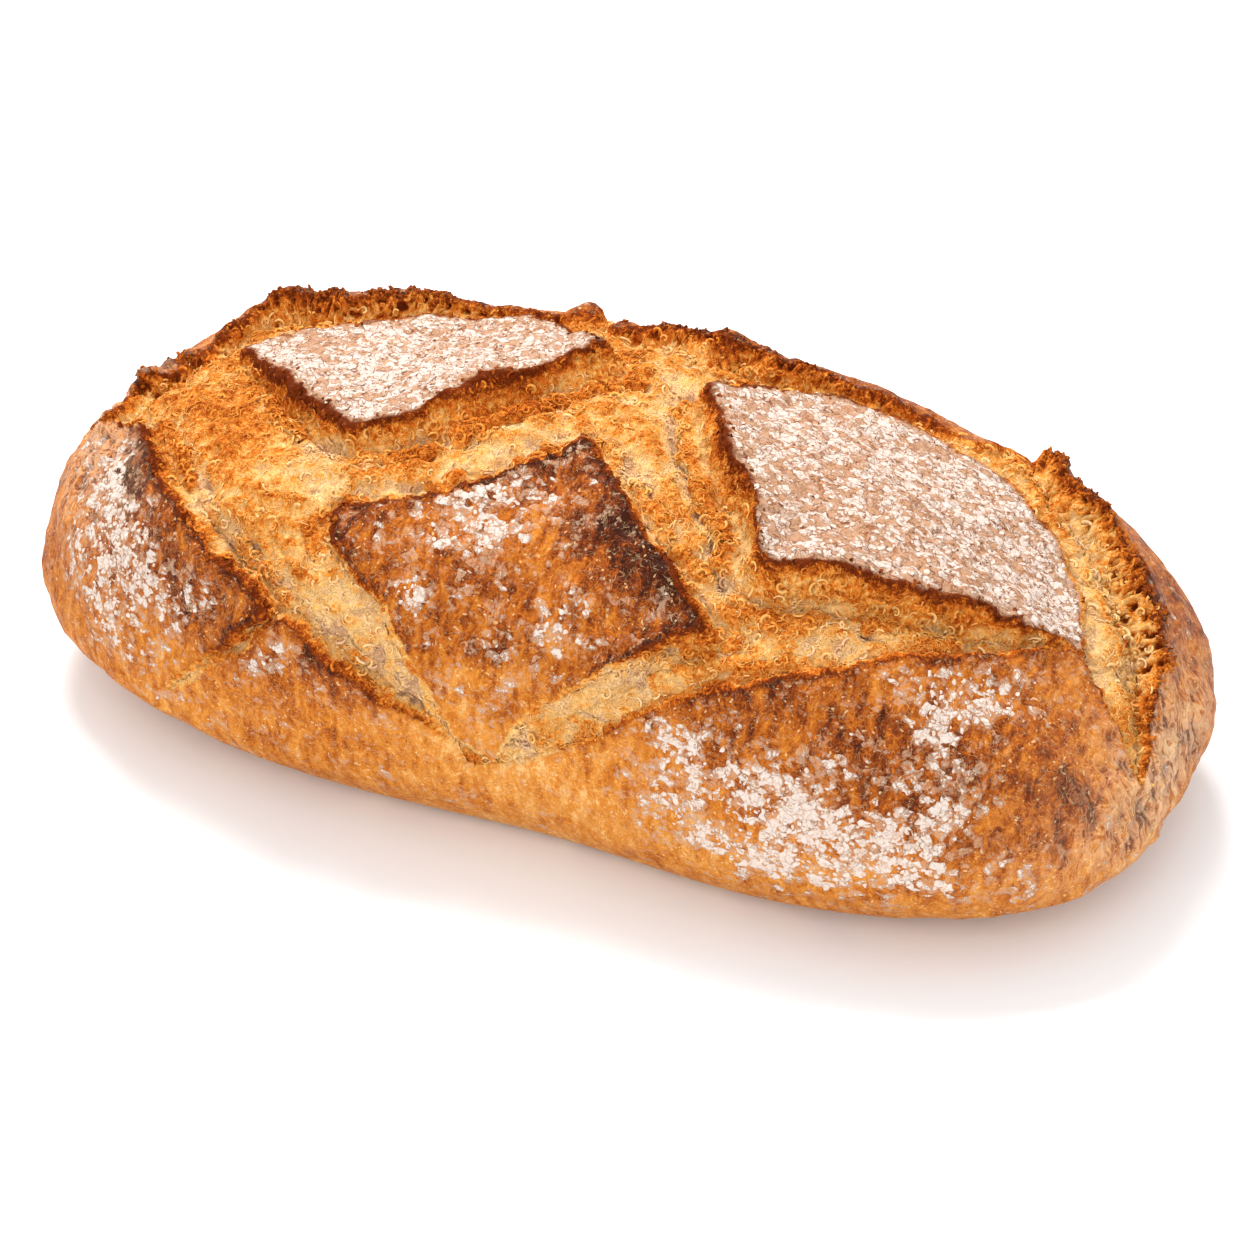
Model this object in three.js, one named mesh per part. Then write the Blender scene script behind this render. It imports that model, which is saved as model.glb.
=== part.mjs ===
import * as THREE from 'three';

// A rustic loaf of bread in millimetres: +X along the loaf, its front towards -Y, +Z up.
// The whole loaf is one closed skin. A smooth body is drawn first, and the scored crust is
// raised on it: plates with lifted rims stand above channels where the crumb burst open.

// Body
const LENGTH = 300;
const WIDTH = 153;
const HEIGHT = 94;
const BELLY_HEIGHT = 0.36 * HEIGHT;
const UNDER_DEPTH = 0.48 * HEIGHT;
const PLAN_POWER = 3.0;
const SIDE_POWER = 2.4;

// How the body strays from an even loaf, in millimetres or as a share of its size
const WIDTH_TAPER = -0.03;
const WIDTH_AT_ENDS = 0.09;
const BEND = 2.8;
const WAIST_DEPTH = 5;
const WAIST_AT = 0.08;
const WAIST_REACH = 0.28;
const HEIGHT_TAPER = 0.04;
const DROP_AT_ENDS = 0.27;
const SHOULDER_RISE = 0.35;
const SHOULDER_AT = -0.4;

// The skin map: millimetres over the crust from the crown, x along the loaf and y across it,
// reaching these lengths where the surface stands upright.
const SKIN_LENGTH = 226;
const SKIN_WIDTH = 126;

// Borders of the crust as [x, y, lift of the rim] in the skin map
const OPENING = [
  // left end, in front
  [-168, -20, 1], [-140, -31, 3], [-114, -37, 4], [-100, -53, 5], [-80, -73, 6],
  [-70, -80, 6], [-69, -84, 6], [-77, -89, 4], [-89, -95, 2], [-105, -102, 1],
  [-144, -115, 0],
  // front left
  [-118, -112, 0], [-82, -98, 1], [-62, -88, 3], [-52, -98, 4], [-39, -108, 4],
  [-24, -116, 2], [-14, -125, 0], [-9, -134, 0], [3, -130, 0], [15, -124, 0],
  // front right
  [26, -117, 0], [38, -107, 1], [48, -91, 2], [60, -78, 3], [75, -64, 3],
  [84, -56, 3], [90, -48, 3], [110, -32, 3], [129, -14, 3], [143, -20, 2],
  [161, -27, 1], [187, -33, 0],
  // right end
  [176, -19, 2], [163, -6, 4], [159, 6, 5], [145, 18, 6], [124, 31, 7],
  [106, 41, 7], [96, 47, 6], [90, 52, 4], [94, 68, 2], [100, 88, 0], [84, 68, 1],
  // back right
  [72, 44, 1], [56, 42, 3], [42, 41, 4], [22, 37, 6], [10, 40, 6], [-2, 43, 5],
  [-18, 41, 2], [-21, 60, 1], [-26, 84, 0], [-31, 60, 1],
  // back left
  [-27, 43, 2], [-36, 40, 3], [-64, 38, 4], [-84, 29, 5], [-103, 30, 5],
  [-116, 25, 5], [-118, 11, 4], [-123, 2, 3], [-138, 12, 2], [-158, 26, 0],
  // left end, behind
  [-141, 4, 3], [-127, -6, 3], [-137, -10, 4], [-145, -26, 3],
];
const BACK_PLATE = [
  [-103, 2, 3], [-84, 15, 2], [-60, 29, 2], [-37, 32, 3], [-12, 15, 7],
  [-31, -10, 7], [-43, -27, 7], [-53, -29, 6], [-75, -17, 5],
];
const MIDDLE_PLATE = [
  [-47, -57, 4], [-28, -52, 3], [-16, -45, 4], [-4, -36, 5], [3, -29, 7],
  [14, -39, 6], [27, -50, 5], [47, -64, 5], [38, -74, 3], [20, -94, 1],
  [9, -109, 0], [-1, -128, 0], [-13, -120, 0], [-20, -104, 1], [-28, -89, 1],
  [-32, -78, 2], [-42, -68, 3],
];
const RIGHT_PLATE = [
  [22, 8, 6], [34, 23, 3], [51, 32, 2], [67, 35, 1], [84, 32, 1], [104, 21, 1],
  [120, 7, 1], [129, -10, 2], [110, -18, 5], [93, -23, 7], [80, -29, 8],
  [65, -35, 9], [55, -41, 9], [51, -33, 9], [43, -23, 8], [31, -6, 7],
];
const PLATES = [BACK_PLATE, MIDDLE_PLATE, RIGHT_PLATE];

// Burnt knobs and chips on the crust as [x, y, radius, height]
const KNOBS = [
  [-29, 47, 4, 4], [92, 51, 5, 3], [-139, -6, 5, 3], [-152, -121, 3, 2],
  [12, 42, 5, 2], [-106, 31, 6, 2],
];

// Profile of the crust across a border
const SIDE_CRUST_REACH = 16;
const PLATE_DISH = 0.25;
const PLATE_DISH_WIDTH = 12;
const WALL_WIDTH = 1.5;
const WALL_WIDTH_PER_LIFT = 0.9;
const FLOOR_DEPTH = 1.2;
const FLOOR_DEPTH_PER_LIFT = 0.35;
const CRUMB_SWELL = 1.2;
const CRUMB_SWELL_REACH = 9;
const OVERHANG_PER_LIFT = 0.15;

// Roughness as [size, depth, seed]
const CRUST_WAVES = [[23, 0.9, 1], [9, 0.45, 2]];
const CRUMB_WAVES = [[15, 1.1, 3], [8, 0.9, 4]];
const RIM_CRAGS = [[7, 1.2, 5]];
const RIM_CRAG_REACH = 5;
const BORDER_WANDER = [[11, 1.3, 6]];

// Mesh, in millimetres of edge length
const SHEET_COLUMNS = 58;
const SHEET_ROWS = 32;
const RIM_EDGE = 3.3;
const CRUMB_EDGE = 4.6;
const CRUST_EDGE = 10;
const EDGE_GROWTH = 0.3;
const REFINEMENTS = 3;
const SNAP_SHARE = 0.4;
const PROBE = 0.25;

const mix = THREE.MathUtils.lerp;
const smoothstep = THREE.MathUtils.smoothstep;
const clamp = THREE.MathUtils.clamp;

// Smooth random waves between -1 and 1, the same for the same place and seed
function hash(i, j, seed) {
  let h = Math.imul(i, 374761393) + Math.imul(j, 668265263) + Math.imul(seed, 974634777);
  h = Math.imul(h ^ (h >>> 13), 1274126177);
  return ((h ^ (h >>> 16)) >>> 0) / 4294967295;
}

function noise(x, y, seed) {
  const i = Math.floor(x);
  const j = Math.floor(y);
  const u = smoothstep(x - i, 0, 1);
  const v = smoothstep(y - j, 0, 1);
  const low = mix(hash(i, j, seed), hash(i + 1, j, seed), u);
  const high = mix(hash(i, j + 1, seed), hash(i + 1, j + 1, seed), u);
  return 2 * mix(low, high, v) - 1;
}

function waves(x, y, layers) {
  let sum = 0;
  for (const [size, depth, seed] of layers) sum += depth * noise(x / size, y / size, seed);
  return sum;
}

// Angle from the crown to where the skin meets the ground, in the direction (a, b)
function rimAngle(a, b) {
  const length = Math.hypot(a, b) || 1;
  const plan = (Math.abs(a / length) ** PLAN_POWER + Math.abs(b / length) ** PLAN_POWER);
  const ground = BELLY_HEIGHT / UNDER_DEPTH;
  const reach = (1 - ground ** SIDE_POWER) ** (1 / SIDE_POWER);
  return Math.PI - Math.atan(reach / (ground * plan ** (1 / PLAN_POWER)));
}

// Angle from the crown to a place in the skin map
function skinAngle(x, y) {
  return Math.hypot(x / SKIN_LENGTH, y / SKIN_WIDTH) * Math.PI / 2;
}

// The smooth body under the crust
function bodyPoint(x, y) {
  const angle = skinAngle(x, y);
  const spread = angle > 0 ? Math.sin(angle) / (angle / (Math.PI / 2)) : 0;
  const ux = spread * x / SKIN_LENGTH;
  const uy = spread * y / SKIN_WIDTH;
  const uz = Math.cos(angle);
  const plan = (Math.abs(ux) ** PLAN_POWER + Math.abs(uy) ** PLAN_POWER);
  const size = (plan ** (SIDE_POWER / PLAN_POWER) + Math.abs(uz) ** SIDE_POWER) ** (-1 / SIDE_POWER);
  const reach = uz > 0 ? HEIGHT - BELLY_HEIGHT : UNDER_DEPTH;
  const along = ux * size;
  const across = uy * size;
  const front = clamp(-across, 0, 1);
  const waist = WAIST_DEPTH * front * Math.exp(-(((along - WAIST_AT) / WAIST_REACH) ** 2));
  const ends = along * along - 0.3;
  const width = 1 + WIDTH_TAPER * along + WIDTH_AT_ENDS * ends;
  const shoulder = SHOULDER_RISE * clamp(SHOULDER_AT - along, 0, 1);
  const height = 1 + HEIGHT_TAPER * along - DROP_AT_ENDS * along * along + shoulder;
  return new THREE.Vector3(
    along * LENGTH / 2,
    across * WIDTH / 2 * width + BEND * ends + waist,
    Math.max(0, (uz * size * reach + BELLY_HEIGHT) * height),
  );
}

function bodyNormal(x, y) {
  const along = bodyPoint(x + PROBE, y).sub(bodyPoint(x - PROBE, y));
  const across = bodyPoint(x, y + PROBE).sub(bodyPoint(x, y - PROBE));
  return along.cross(across).normalize();
}

// Distance to a border, negative outside it, with the lift of the rims around the place
function border(x, y, outline) {
  let nearest = Infinity;
  let inside = false;
  let weights = 0;
  let lifts = 0;
  outline.forEach(([x0, y0, lift0], k) => {
    const [x1, y1, lift1] = outline[(k + 1) % outline.length];
    const dx = x1 - x0;
    const dy = y1 - y0;
    const square = dx * dx + dy * dy;
    const t = clamp(((x - x0) * dx + (y - y0) * dy) / square, 0, 1);
    const distance = Math.hypot(x - x0 - t * dx, y - y0 - t * dy);
    const weight = Math.sqrt(square) / (distance * distance + 0.5) ** 1.5;
    nearest = Math.min(nearest, distance);
    weights += weight;
    lifts += weight * mix(lift0, lift1, t);
    if ((y0 > y) !== (y1 > y) && x < x0 + dx * (y - y0) / dy) inside = !inside;
  });
  return { distance: inside ? nearest : -nearest, lift: lifts / weights };
}

// What the crust does at a place: distance in from its border (negative in the crumb) and lift
function crustAt(x, y) {
  const wx = x + waves(x, y, BORDER_WANDER);
  const wy = y + waves(y, x, BORDER_WANDER);
  const opening = border(wx, wy, OPENING);
  let crust = { distance: -opening.distance, lift: opening.lift, plate: false };
  for (const outline of PLATES) {
    const plate = border(wx, wy, outline);
    if (plate.distance > crust.distance) crust = { ...plate, plate: true };
  }
  return crust;
}

// Width of the torn wall that falls from a rim to the crumb
function wallWidth(lift) {
  return WALL_WIDTH + WALL_WIDTH_PER_LIFT * lift;
}

// Height of the scored surface over the smooth body
function relief(x, y) {
  const { distance, lift, plate } = crustAt(x, y);
  let height = 0;
  if (distance > 0) {
    const dish = 1 - PLATE_DISH * smoothstep(distance, 0, PLATE_DISH_WIDTH);
    height = lift * (plate ? dish : Math.exp(-distance / SIDE_CRUST_REACH));
    height += waves(x, y, CRUST_WAVES) * smoothstep(distance, 0, 6);
  } else {
    const wall = wallWidth(lift);
    const floor = -(FLOOR_DEPTH + FLOOR_DEPTH_PER_LIFT * lift);
    const beyond = Math.max(0, -distance - wall);
    const swell = 1 - Math.exp(-beyond / CRUMB_SWELL_REACH);
    height = mix(lift, floor, smoothstep(-distance, 0, wall));
    height += (CRUMB_SWELL - floor) * swell;
    height += waves(x, y, CRUMB_WAVES) * smoothstep(-distance, 0, wall);
  }
  const rim = Math.exp(-Math.abs(distance) / RIM_CRAG_REACH) * clamp(lift / 4, 0, 1);
  height += rim * waves(x, y, RIM_CRAGS);
  for (const [kx, ky, radius, rise] of KNOBS) {
    height += rise * Math.exp(-(((x - kx) ** 2 + (y - ky) ** 2) / radius ** 2));
  }
  return height * (1 - smoothstep(skinAngle(x, y), 1.9, 2.2));
}

// How far a rim leans out over the crumb, as a step in the skin map
function overhang(x, y) {
  const { distance, lift } = crustAt(x, y);
  const here = OVERHANG_PER_LIFT * lift * Math.exp(-((distance / 2.5) ** 2));
  const slope = edgeSlope(x, y);
  return [-here * slope.x, -here * slope.y];
}

function edgeSlope(x, y) {
  const dx = crustAt(x + PROBE, y).distance - crustAt(x - PROBE, y).distance;
  const dy = crustAt(x, y + PROBE).distance - crustAt(x, y - PROBE).distance;
  return new THREE.Vector2(dx, dy).normalize();
}

function loafPoint(x, y) {
  const [leanX, leanY] = overhang(x, y);
  const point = bodyPoint(x + leanX, y + leanY);
  point.addScaledVector(bodyNormal(x, y), relief(x, y));
  point.z = Math.max(0, point.z);
  return point;
}

// A sheet over the skin map: a square of cells bent to the round map, its rim on the ground
function skinSheet() {
  const plane = new THREE.PlaneGeometry(2, 2, SHEET_COLUMNS, SHEET_ROWS);
  const places = [];
  for (let k = 0; k < plane.attributes.position.count; k++) {
    const gx = plane.attributes.position.getX(k);
    const gy = plane.attributes.position.getY(k);
    const a = gx * (0.8 + 0.2 * gx * gx) * Math.sqrt(1 - gy * gy / 2);
    const b = gy * Math.sqrt(1 - gx * gx / 2);
    const onRim = Math.max(Math.abs(gx), Math.abs(gy)) > 1 - 1e-6;
    places.push(placeOnSheet(a, b, onRim));
  }
  const corners = Array.from(plane.index.array);
  const triangles = [];
  for (let k = 0; k < corners.length; k += 3) triangles.push(corners.slice(k, k + 3));
  return { places, triangles };
}

function placeOnSheet(a, b, onRim) {
  const stretch = rimAngle(a, b) / (Math.PI / 2) / (onRim ? Math.hypot(a, b) : 1);
  return { x: a * stretch * SKIN_LENGTH, y: b * stretch * SKIN_WIDTH, onRim };
}

// Edge length wanted at a place
function wantedEdge(x, y) {
  const { distance } = crustAt(x, y);
  if (distance < -8) return CRUMB_EDGE;
  return clamp(RIM_EDGE + EDGE_GROWTH * (distance - 3), RIM_EDGE, CRUST_EDGE);
}

// Splits the edges that are longer than wanted, and the triangles on both sides alike
function refine({ places, triangles }) {
  const middles = new Map();
  const middle = (i, j) => {
    const key = i < j ? `${i}_${j}` : `${j}_${i}`;
    if (!middles.has(key)) {
      const p = places[i];
      const q = places[j];
      const x = (p.x + q.x) / 2;
      const y = (p.y + q.y) / 2;
      const long = bodyPoint(p.x, p.y).distanceTo(bodyPoint(q.x, q.y)) > 1.4 * wantedEdge(x, y);
      middles.set(key, long && !(p.onRim && q.onRim) ? places.push({ x, y, onRim: false }) - 1 : -1);
    }
    return middles.get(key);
  };
  const finer = [];
  for (const [i, j, k] of triangles) {
    const cut = [middle(i, j), middle(j, k), middle(k, i)];
    const count = cut.filter((m) => m >= 0).length;
    if (count === 0) {
      finer.push([i, j, k]);
    } else if (count === 3) {
      const [a, b, c] = cut;
      finer.push([i, a, c], [a, j, b], [c, b, k], [a, b, c]);
    } else {
      const turn = count === 1 ? cut.findIndex((m) => m >= 0) : (cut.findIndex((m) => m < 0) + 1) % 3;
      const [p, q, r] = [[i, j, k], [j, k, i], [k, i, j]][turn];
      const a = cut[turn];
      const b = cut[(turn + 1) % 3];
      if (count === 1) finer.push([p, a, r], [a, q, r]);
      else finer.push([a, q, b], [p, a, b], [p, b, r]);
    }
  }
  return { places, triangles: finer };
}

// Moves the places beside a rim or the foot of its wall onto it, so that both run along edges
// of the mesh
function snapToWalls(places) {
  for (const place of places) {
    if (place.onRim) continue;
    const { distance, lift } = crustAt(place.x, place.y);
    const foot = distance + wallWidth(lift);
    const step = Math.abs(distance) < Math.abs(foot) ? distance : foot;
    if (Math.abs(step) > SNAP_SHARE * RIM_EDGE) continue;
    const slope = edgeSlope(place.x, place.y);
    place.x -= step * slope.x;
    place.y -= step * slope.y;
  }
}

function loafGeometry() {
  let sheet = skinSheet();
  for (let pass = 0; pass < REFINEMENTS; pass++) sheet = refine(sheet);
  snapToWalls(sheet.places);
  const points = sheet.places.map(({ x, y }) => loafPoint(x, y));
  const index = sheet.triangles.flat();

  // The flat sole: every open edge of the sheet joins to the middle of the sole.
  const centre = points.push(new THREE.Vector3(0, 0, 0)) - 1;
  for (const [i, j, k] of sheet.triangles) {
    for (const [p, q] of [[i, j], [j, k], [k, i]]) {
      const open = sheet.places[p].onRim && sheet.places[q].onRim;
      if (open && !sheet.triangles.some((t) => usesEdge(t, q, p))) index.push(q, p, centre);
    }
  }
  const geometry = new THREE.BufferGeometry().setFromPoints(points);
  geometry.setIndex(index);
  geometry.computeBoundingBox();
  const middle = geometry.boundingBox.getCenter(new THREE.Vector3());
  geometry.translate(-middle.x, -middle.y, 0);
  geometry.computeVertexNormals();
  return geometry;
}

function usesEdge([i, j, k], p, q) {
  return (i === p && j === q) || (j === p && k === q) || (k === p && i === q);
}

const crust = new THREE.MeshStandardMaterial({
  color: 0xb8742f,
  roughness: 0.8,
  metalness: 0,
});

const loaf = new THREE.Mesh(loafGeometry(), crust);
loaf.name = 'loaf';

const bread = new THREE.Group();
bread.name = 'bread_loaf';
bread.add(loaf);

export default bread;
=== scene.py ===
# %% [markdown]
# A rustic loaf of bread, scored on top. Its crust has burst along the cuts: three plates of crust
# and the crust of the sides stand above channels of torn crumb, and flour lies on the plates.
# The solid loaf is loaded first. It fixes the size and the place of everything made here.

import itertools
import math

import bpy
import numpy as np
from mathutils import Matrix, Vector


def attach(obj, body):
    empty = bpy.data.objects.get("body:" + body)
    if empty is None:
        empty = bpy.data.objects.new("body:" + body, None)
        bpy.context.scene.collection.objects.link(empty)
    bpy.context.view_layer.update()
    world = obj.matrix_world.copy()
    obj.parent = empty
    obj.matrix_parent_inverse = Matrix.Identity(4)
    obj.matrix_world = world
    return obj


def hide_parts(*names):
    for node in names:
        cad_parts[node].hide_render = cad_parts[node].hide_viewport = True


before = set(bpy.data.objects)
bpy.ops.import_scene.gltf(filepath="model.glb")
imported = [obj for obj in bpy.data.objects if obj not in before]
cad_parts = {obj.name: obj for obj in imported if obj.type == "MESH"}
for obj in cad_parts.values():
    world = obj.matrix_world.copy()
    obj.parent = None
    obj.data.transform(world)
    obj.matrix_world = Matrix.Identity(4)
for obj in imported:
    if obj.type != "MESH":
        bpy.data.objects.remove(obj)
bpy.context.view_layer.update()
MM = 0.001

# %% [markdown]
# The camera stands in front of the loaf, to the right of its middle, and looks down on it. A long
# lens from far away keeps the perspective gentle, as in a product picture. The focal length
# follows from how many pixels wide the picture is and how large the loaf appears in it.

# %% Camera
CAMERA_AZIMUTH = math.radians(25.7)
CAMERA_ELEVATION = math.radians(35)
CAMERA_DISTANCE = 1200 * MM
FOCAL_PIXELS = 4781
PICTURE_PIXELS = 1254
AIM_HEIGHT = 40 * MM
AIM_RIGHT = 1.96 * MM
AIM_DOWN = 10.54 * MM
CAMERA_REACH = 20

turn, rise = CAMERA_AZIMUTH, CAMERA_ELEVATION
backwards = Vector((
    math.sin(turn) * math.cos(rise), -math.cos(turn) * math.cos(rise), math.sin(rise)))
rightwards = Vector((math.cos(turn), math.sin(turn), 0))
upwards = backwards.cross(rightwards)

lens = bpy.data.cameras.new("camera")
lens.sensor_width = 36
lens.lens = lens.sensor_width * FOCAL_PIXELS / PICTURE_PIXELS
lens.clip_end = CAMERA_REACH
camera = bpy.data.objects.new("camera", lens)
bpy.context.scene.collection.objects.link(camera)
bpy.context.scene.camera = camera
print("lens, mm:", round(lens.lens))

# %% [markdown]
# The studio is a plain pale floor under very soft light: a bright even sky, a large lamp high
# above and a little behind the loaf that gives the crests their light, and a weaker lamp in
# front. The light is a little stronger than white paper needs, so the floor stays white close to
# the loaf, and the finishes further down divide their colours by that light level. Colours are
# shown as they are, with no film curve, because baked crust quickly turns dull under one.

# %% Floor, lamps and sky
FLOOR_SIZE = 6.0
FLOOR_COLOUR, FLOOR_ROUGHNESS = (0.89, 0.92, 0.94), 0.8
SKY_STRENGTH = 0.95
LIGHT_LEVEL = 1.18

bpy.ops.mesh.primitive_plane_add(size=FLOOR_SIZE)
floor = bpy.context.object
floor.name = "floor"
floor_finish = bpy.data.materials.new("pale floor")
floor_finish.use_nodes = True
paint = floor_finish.node_tree.nodes["Principled BSDF"].inputs
paint["Base Color"].default_value = (*FLOOR_COLOUR, 1)
paint["Roughness"].default_value = FLOOR_ROUGHNESS
floor.data.materials.append(floor_finish)


def lamp(name, place, size, power):
    """A square area lamp that faces the middle of the loaf."""
    light = bpy.data.lights.new(name, "AREA")
    light.shape = "SQUARE"
    light.size = size
    light.energy = power
    holder = bpy.data.objects.new(name, light)
    holder.location = place
    holder.rotation_euler = (-Vector(place)).to_track_quat("-Z", "Y").to_euler()
    bpy.context.scene.collection.objects.link(holder)


lamp("high lamp", (-0.45, 0.5, 1.25), 0.6, 21)
lamp("front lamp", (0.4, -1.3, 0.9), 1.2, 11)
sky = bpy.data.worlds.new("studio")
sky.use_nodes = True
sky.node_tree.nodes["Background"].inputs["Color"].default_value = (1, 1, 1, 1)
sky.node_tree.nodes["Background"].inputs["Strength"].default_value = SKY_STRENGTH
bpy.context.scene.world = sky
bpy.context.scene.view_settings.view_transform = "Standard"

# %% [markdown]
# Bread is never even, but the same script has to give the same loaf every time. Value noise does
# both: each corner of a grid gets a random number that depends only on its place and a seed, and
# between corners the numbers blend smoothly. Cellular noise gives bubbles and cracks: every
# cell of the grid holds one seed point, and a place asks how far its nearest seeds are. Here and
# below, x and y are arrays, so one line works on all places of the loaf at once.

# %% Noise
PRIMES = 374761393, 668265263, 2246822519
SEED_STRIDE, STIRRER = 974634777, 1274126177
CELL_MARGIN = 0.15


def smoothstep(value, low, high):
    share = np.clip((value - low) / (high - low), 0, 1)
    return share * share * (3 - 2 * share)


def mix(a, b, share):
    return a + (b - a) * share


def chance(corner, seed):
    """A repeatable random number from 0 to 1 for each corner of a grid, flat or in space."""
    h = np.uint32(seed * SEED_STRIDE % 2**32)
    for number, prime in zip(corner, PRIMES):
        h = h + number.astype(np.int64).astype(np.uint32) * np.uint32(prime)
    h = (h ^ (h >> np.uint32(13))) * np.uint32(STIRRER)
    return (h ^ (h >> np.uint32(16))) / 4294967295


def noise(place, size, seed):
    """Smooth random waves between -1 and 1."""
    cell = [np.floor(value / size) for value in place]
    share = [smoothstep(value / size - low, 0, 1) for value, low in zip(place, cell)]
    total = 0
    for step in itertools.product((0, 1), repeat=len(cell)):
        weight = math.prod(s if up else 1 - s for s, up in zip(share, step))
        total = total + weight * chance([low + up for low, up in zip(cell, step)], seed)
    return 2 * total - 1


def waves(place, layers):
    """Adds up layers of noise, each given as (size, depth, seed)."""
    return sum(depth * noise(place, size, seed) for size, depth, seed in layers)


def ridges(place, layers):
    """As waves, but with sharp crests and round valleys, like torn crumb."""
    return sum(depth * (1 - 2 * np.abs(noise(place, size, seed))) for size, depth, seed in layers)


def bubbles(place, size, seed):
    """How far the nearest seed point is, how much further the next, and the nearest's number."""
    cell = [np.floor(value / size) for value in place]
    first, second, number = 9.0, 9.0, 0.0
    for step in itertools.product((-1, 0, 1), repeat=len(cell)):
        corner = [low + move for low, move in zip(cell, step)]
        away = [value / size - low - mix(CELL_MARGIN, 1 - CELL_MARGIN, chance(corner, seed + turn))
                for turn, (value, low) in enumerate(zip(place, corner))]
        distance = np.sqrt(sum(part**2 for part in away))
        nearer = distance < first
        second = np.where(nearer, first, np.minimum(second, distance))
        number = np.where(nearer, chance(corner, seed + 3), number)
        first = np.where(nearer, distance, first)
    return first, second - first, number


def patches(x, y, spots):
    """Adds up soft round spots, each given as (x, y, half length, half width, amount)."""
    return sum(amount * np.exp(-(((x - sx) / a) ** 2 + ((y - sy) / b) ** 2))
               for sx, sy, a, b, amount in spots)


# %% [markdown]
# The body is a squashed superellipsoid with a flat sole: fuller than an egg, softer than a box. It
# is drawn over a skin map, whose x runs along the loaf and y across it in millimetres of crust
# from the crown. A map keeps cuts and flour where they are while the body bends below them. The
# body also tapers, bends a little, has a waist in front and drops towards its ends.

# %% The smooth body
LENGTH, WIDTH, HEIGHT = 300, 153, 94
BELLY_HEIGHT = 0.36 * HEIGHT
UNDER_DEPTH = 0.48 * HEIGHT
PLAN_POWER, SIDE_POWER = 3.0, 2.4
WIDTH_TAPER, WIDTH_AT_ENDS = -0.03, 0.09
BEND = 2.8
WAIST_DEPTH, WAIST_AT, WAIST_REACH = 5, 0.08, 0.28
HEIGHT_TAPER, DROP_AT_ENDS = 0.04, 0.27
SHOULDER_RISE, SHOULDER_AT = 0.35, -0.4
SKIN_LENGTH, SKIN_WIDTH = 226, 126
MEAN_OF_SQUARES = 0.3


def skin_angle(x, y):
    """Angle from the crown, a quarter turn where the skin stands upright."""
    return np.hypot(x / SKIN_LENGTH, y / SKIN_WIDTH) * np.pi / 2


def rim_angle(a, b):
    """Angle from the crown to where the skin meets the ground, in the direction (a, b)."""
    length = np.maximum(np.hypot(a, b), 1e-9)
    plan = np.abs(a / length) ** PLAN_POWER + np.abs(b / length) ** PLAN_POWER
    plan = np.maximum(plan, 1e-9)
    ground = BELLY_HEIGHT / UNDER_DEPTH
    reach = (1 - ground**SIDE_POWER) ** (1 / SIDE_POWER)
    return np.pi - np.arctan(reach / (ground * plan ** (1 / PLAN_POWER)))


def body_points(x, y):
    angle = skin_angle(x, y)
    spread = np.sinc(angle / np.pi) * np.pi / 2
    ux, uy, uz = spread * x / SKIN_LENGTH, spread * y / SKIN_WIDTH, np.cos(angle)
    plan = np.abs(ux) ** PLAN_POWER + np.abs(uy) ** PLAN_POWER
    size = (plan ** (SIDE_POWER / PLAN_POWER) + np.abs(uz) ** SIDE_POWER) ** (-1 / SIDE_POWER)
    along, across = ux * size, uy * size
    ends = along**2 - MEAN_OF_SQUARES
    waist = np.exp(-(((along - WAIST_AT) / WAIST_REACH) ** 2))
    waist = WAIST_DEPTH * np.clip(-across, 0, 1) * waist
    width = 1 + WIDTH_TAPER * along + WIDTH_AT_ENDS * ends
    shoulder = SHOULDER_RISE * np.clip(SHOULDER_AT - along, 0, 1)
    height = 1 + HEIGHT_TAPER * along - DROP_AT_ENDS * along**2 + shoulder
    reach = np.where(uz > 0, HEIGHT - BELLY_HEIGHT, UNDER_DEPTH)
    return np.stack([
        along * LENGTH / 2,
        across * WIDTH / 2 * width + BEND * ends + waist,
        np.maximum(0, (uz * size * reach + BELLY_HEIGHT) * height),
    ], -1)


def unit(vectors):
    return vectors / np.maximum(np.linalg.norm(vectors, axis=-1, keepdims=True), 1e-9)


def body_normals(x, y, step=0.25):
    """The outward normals of the body, from places a small step to each side."""
    along = body_points(x + step, y) - body_points(x - step, y)
    across = body_points(x, y + step) - body_points(x, y - step)
    return unit(np.cross(along, across))


# %% [markdown]
# The borders of the crust are drawn on the skin map as corners, each with the lift of the rim
# there. The opening is one ragged ring of side crust round the torn crumb, and the plates are
# islands in it. A baker's cut tears on in the oven, so the straight lines between the corners
# wander by noise. A distance to the nearest border, positive on crust and negative on crumb, then
# drives everything: the height, the colours and where flakes and flour lie.

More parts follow.
